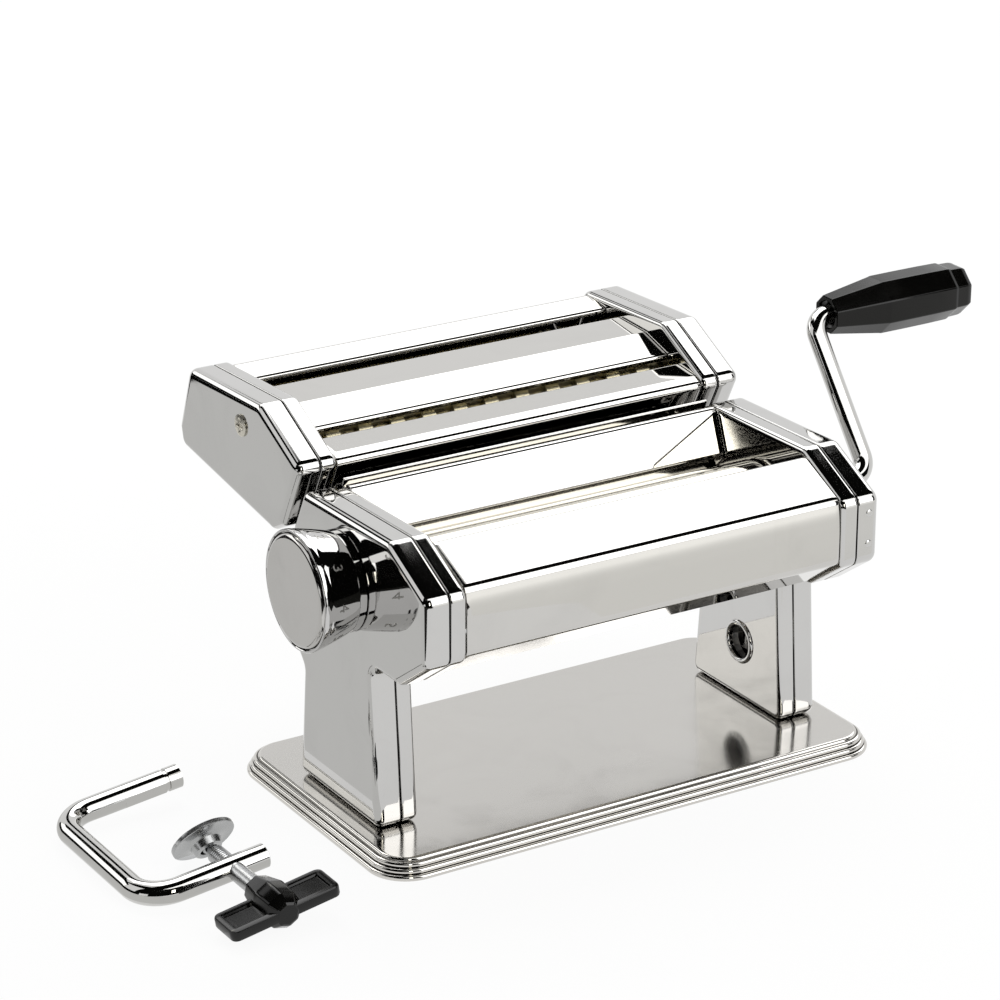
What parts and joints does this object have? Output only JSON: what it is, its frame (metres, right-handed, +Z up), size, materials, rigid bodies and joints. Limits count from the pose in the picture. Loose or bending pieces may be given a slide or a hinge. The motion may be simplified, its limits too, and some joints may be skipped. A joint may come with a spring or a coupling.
{
  "type": "pasta roller machine",
  "caption": "Hand-cranked pasta machine: two smooth rollers with a thickness knob, a lift-off cutter head with wide and fine cutters, and a loose table clamp.",
  "frame": {"origin": "centre of the underside of the base, on the table", "axes": "+X along the rollers towards the crank, +Y away from the user towards the cutter head, +Z up"},
  "size_m": [0.3778, 0.1814, 0.1489],
  "materials": {
    "deck_chrome": "mirror polished",
    "housing_chrome": "mirror polished",
    "sheet_chrome": "mirror polished",
    "roller_chrome": "polished",
    "knob_chrome": "mirror polished",
    "rod_chrome": "mirror polished",
    "steel": "satin",
    "cutter_steel": "ground",
    "zinc": "zinc plated",
    "brass": "satin",
    "black_plastic": "semi-gloss"
  },
  "bodies": {
    "machine": {"base_top": "deck_chrome", "base_plate": "steel", "leg_screw_1": "zinc", "leg_screw_2": "zinc", "leg_screw_3": "zinc", "leg_screw_4": "zinc", "left_outer_cover": "housing_chrome", "right_outer_cover": "housing_chrome", "left_inner_cover": "housing_chrome", "right_inner_cover": "housing_chrome", "left_frame": "steel", "right_frame": "steel", "tie_rod_front": "zinc", "front_cover": "sheet_chrome", "rear_cover": "sheet_chrome", "feed_plate": "sheet_chrome", "cutter_rail": "black_plastic", "front_scraper": "steel", "rear_scraper": "steel", "front_bush_left": "brass", "front_bush_right": "brass", "index_ring": "knob_chrome"},
    "drive_roller": {"front_roller": "roller_chrome", "front_gear": "steel"},
    "crank": {"crank_arm": "rod_chrome"},
    "grip": {"crank_grip": "black_plastic"},
    "bearing_slide": {"bearing_block_left": "brass", "bearing_block_right": "brass"},
    "driven_roller": {"rear_roller": "roller_chrome", "rear_gear": "steel"},
    "spindle": {"knob_spindle": "steel", "knob_spring": "steel"},
    "knob": {"thickness_knob": "knob_chrome", "knob_cap": "knob_chrome"},
    "cutter_head": {"cutter_left_outer_cover": "housing_chrome", "cutter_right_outer_cover": "housing_chrome", "cutter_left_inner_cover": "housing_chrome", "cutter_right_inner_cover": "housing_chrome", "cutter_screw_left": "brass", "cutter_screw_right": "brass", "cutter_front_cover": "sheet_chrome", "cutter_middle_cover": "sheet_chrome", "cutter_rear_cover": "sheet_chrome", "cutter_drip_tray": "sheet_chrome", "wide_comb": "steel", "fine_comb": "steel"},
    "wide_rear": {"wide_cutter_rear": "cutter_steel", "wide_gear_rear": "steel"},
    "wide_front": {"wide_cutter_front": "cutter_steel", "wide_gear_front": "steel"},
    "fine_front": {"fine_cutter_front": "cutter_steel", "fine_gear_front": "steel"},
    "fine_rear": {"fine_cutter_rear": "cutter_steel", "fine_gear_rear": "steel"},
    "clamp": {"clamp_bar": "rod_chrome"},
    "clamp_pad": {"clamp_pad": "zinc"},
    "clamp_screw": {"clamp_screw": "zinc", "wing_knob": "black_plastic"}
  },
  "joints": [
    {"name": "crank_turn", "type": "hinge", "parent": "machine", "child": "drive_roller", "pos_m": [0, -0.013, 0.0886], "axis": [1, 0, 0], "continuous": true},
    {"name": "crank_pull", "type": "slide", "parent": "drive_roller", "child": "crank", "axis": [1, 0, 0], "range_m": [0, 0.024]},
    {"name": "grip_spin", "type": "hinge", "parent": "crank", "child": "grip", "pos_m": [0.15, 0.02531, 0.13798], "axis": [1, 0, 0], "continuous": true},
    {"name": "roller_gap", "type": "slide", "parent": "machine", "child": "bearing_slide", "axis": [0, -0.9272, 0.3746], "range_m": [0, 0.0023]},
    {"name": "rear_roller_spin", "type": "hinge", "parent": "bearing_slide", "child": "driven_roller", "pos_m": [0, 0.01815, 0.07601], "axis": [1, 0, 0], "continuous": true},
    {"name": "knob_turn", "type": "hinge", "parent": "machine", "child": "spindle", "pos_m": [-0.095, -0.0074, 0.0924], "axis": [1, 0, 0], "range_deg": [0, 320]},
    {"name": "knob_pull", "type": "slide", "parent": "spindle", "child": "knob", "axis": [-1, 0, 0], "range_m": [0, 0.004], "stiffness_N_per_m": 900, "springref_m": -0.003, "deforming": ["knob_spring"]},
    {"name": "cutter_lift", "type": "slide", "parent": "machine", "child": "cutter_head", "axis": [0, 0, 1], "range_m": [0, 0.08]},
    {"name": "wide_cutter_spin", "type": "hinge", "parent": "cutter_head", "child": "wide_rear", "pos_m": [0, 0.05466, 0.11591], "axis": [1, 0, 0], "continuous": true},
    {"name": "wide_follower_spin", "type": "hinge", "parent": "cutter_head", "child": "wide_front", "pos_m": [0, 0.0413, 0.1091], "axis": [1, 0, 0], "continuous": true},
    {"name": "fine_cutter_spin", "type": "hinge", "parent": "cutter_head", "child": "fine_front", "pos_m": [0, 0.0785, 0.1173], "axis": [1, 0, 0], "continuous": true},
    {"name": "fine_follower_spin", "type": "hinge", "parent": "cutter_head", "child": "fine_rear", "pos_m": [0, 0.0931, 0.1173], "axis": [1, 0, 0], "continuous": true},
    {"name": "clamp_lift", "type": "slide", "parent": "machine", "child": "clamp", "axis": [0, 0, 1], "range_m": [0, 0.08]},
    {"name": "pad_advance", "type": "slide", "parent": "clamp", "child": "clamp_pad", "axis": [-0.0052, 1, 0], "range_m": [0, 0.012]},
    {"name": "clamp_screw_turn", "type": "hinge", "parent": "clamp_pad", "child": "clamp_screw", "pos_m": [-0.14753, -0.02893, 0.00809], "axis": [-0.0052, 1, 0], "range_deg": [0, 1440]}
  ],
  "couplings": [
    {"joint": "rear_roller_spin", "follows": "crank_turn", "ratio": -1},
    {"joint": "knob_turn", "follows": "roller_gap", "rad_per_m": 2428.2},
    {"joint": "wide_follower_spin", "follows": "wide_cutter_spin", "ratio": -1},
    {"joint": "fine_follower_spin", "follows": "fine_cutter_spin", "ratio": -1},
    {"joint": "clamp_screw_turn", "follows": "pad_advance", "rad_per_m": 2094.3}
  ]
}
